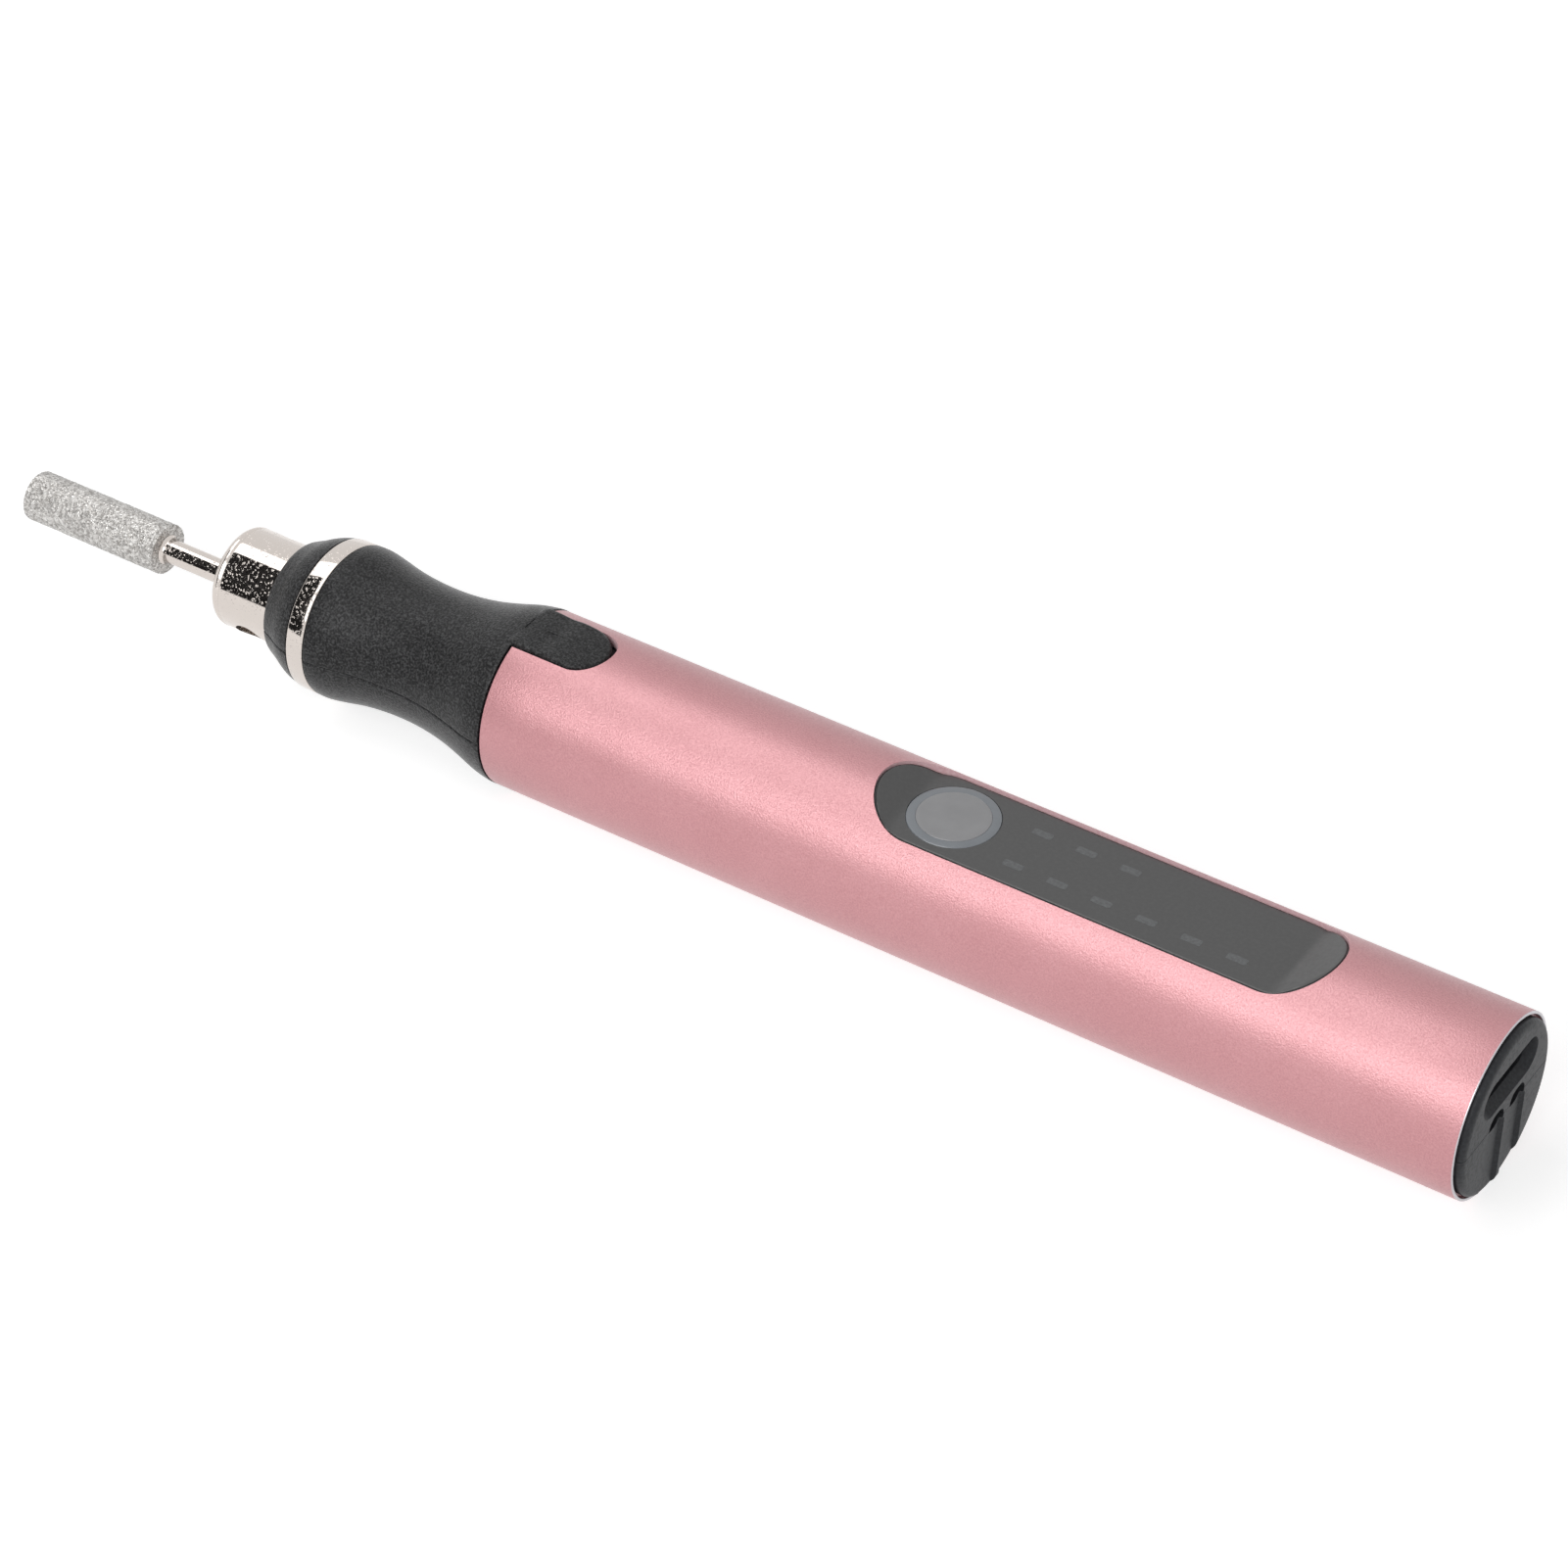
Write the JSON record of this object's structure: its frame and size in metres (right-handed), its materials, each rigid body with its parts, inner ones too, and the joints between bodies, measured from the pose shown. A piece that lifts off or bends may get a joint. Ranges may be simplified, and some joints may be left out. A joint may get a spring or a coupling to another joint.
{
  "type": "engraving pen",
  "caption": "Rechargeable engraving pen: tube body with recessed button panel, waisted grip, spinning screw chuck and cylindrical grinding bit.",
  "frame": {"origin": "centre of the bounding box on the plane the pen rests on", "axes": "+X along the pen towards the rear cap, the bit points to -X, +Z out of the control panel, +Y completes the frame"},
  "size_m": [0.1564, 0.017, 0.017],
  "materials": {
    "pink_anodised": "satin",
    "black_plastic": "fine texture",
    "panel_grey": "satin",
    "nickel_plate": "polished",
    "diamond_grit": "fine grit coating",
    "steel": "ground",
    "black_steel": "blackened",
    "smoked_plastic": "gloss",
    "brass": "turned",
    "copper": "bare copper",
    "ferrite": "matte",
    "carbon": "matte",
    "white_plastic": "plain",
    "board_green": "solder resist",
    "cell_sleeve": "shrink sleeve",
    "red_sleeve": "plain",
    "black_sleeve": "plain"
  },
  "bodies": {
    "housing": {"body_tube": "pink_anodised", "grip_upper_half": "black_plastic", "grip_lower_half": "black_plastic", "rear_cap_upper_half": "black_plastic", "carrier_with_lower_cap": "black_plastic", "switch_body": "black_plastic", "charge_chip": "black_plastic", "motor_driver_chip": "black_plastic", "charge_socket_contact": "black_plastic", "control_panel": "panel_grey", "nose_ring": "nickel_plate", "front_battery_tab": "nickel_plate", "rear_battery_tab": "nickel_plate", "front_bearing_outer_race": "steel", "rear_bearing_outer_race": "steel", "motor_can": "steel", "charge_socket_shell": "steel", "button_light_ring": "smoked_plastic", "left_motor_terminal": "brass", "right_motor_terminal": "brass", "motor_magnet": "ferrite", "left_motor_brush": "carbon", "right_motor_brush": "carbon", "motor_end_bell": "white_plastic", "front_led": "white_plastic", "rear_led": "white_plastic", "circuit_board": "board_green", "battery_cell": "cell_sleeve", "red_motor_lead": "red_sleeve", "red_battery_lead": "red_sleeve", "black_motor_lead": "black_sleeve", "black_battery_lead": "black_sleeve"},
    "spindle_body": {"chuck_sleeve": "nickel_plate", "spindle": "steel", "front_bearing_inner_race": "steel", "rear_bearing_inner_race": "steel", "shaft_coupling": "brass", "motor_shaft": "steel", "motor_armature": "copper", "motor_commutator": "copper"},
    "front_cage": {"front_bearing_ball_cage": "brass"},
    "rear_cage": {"rear_bearing_ball_cage": "brass"},
    "bit": {"burr_head": "diamond_grit", "burr_shank": "steel"},
    "near_screw": {"near_set_screw": "black_steel"},
    "far_screw": {"far_set_screw": "black_steel"},
    "button": {"button_cap": "smoked_plastic", "switch_plunger": "white_plastic"}
  },
  "joints": [
    {"name": "spindle_spin", "type": "hinge", "parent": "housing", "child": "spindle_body", "pos_m": [-0.03675, 0, 0.0085], "axis": [1, 0, 0], "continuous": true},
    {"name": "front_cage_spin", "type": "hinge", "parent": "housing", "child": "front_cage", "pos_m": [-0.03675, 0, 0.0085], "axis": [1, 0, 0], "continuous": true},
    {"name": "rear_cage_spin", "type": "hinge", "parent": "housing", "child": "rear_cage", "pos_m": [-0.02425, 0, 0.0085], "axis": [1, 0, 0], "continuous": true},
    {"name": "bit_slide", "type": "slide", "parent": "spindle_body", "child": "bit", "axis": [-1, 0, 0], "range_m": [0, 0.011]},
    {"name": "near_screw_out", "type": "slide", "parent": "spindle_body", "child": "near_screw", "axis": [0, -0.788, -0.6157], "range_m": [0, 0.0012]},
    {"name": "far_screw_out", "type": "slide", "parent": "spindle_body", "child": "far_screw", "axis": [0, 0.788, 0.6157], "range_m": [0, 0.0012]},
    {"name": "button_press", "type": "slide", "parent": "housing", "child": "button", "axis": [0, 0, -1], "range_m": [0, 0.0003], "stiffness_N_per_m": 1000}
  ],
  "couplings": [
    {"joint": "front_cage_spin", "follows": "spindle_spin", "ratio": 0.3953},
    {"joint": "rear_cage_spin", "follows": "spindle_spin", "ratio": 0.3953}
  ]
}
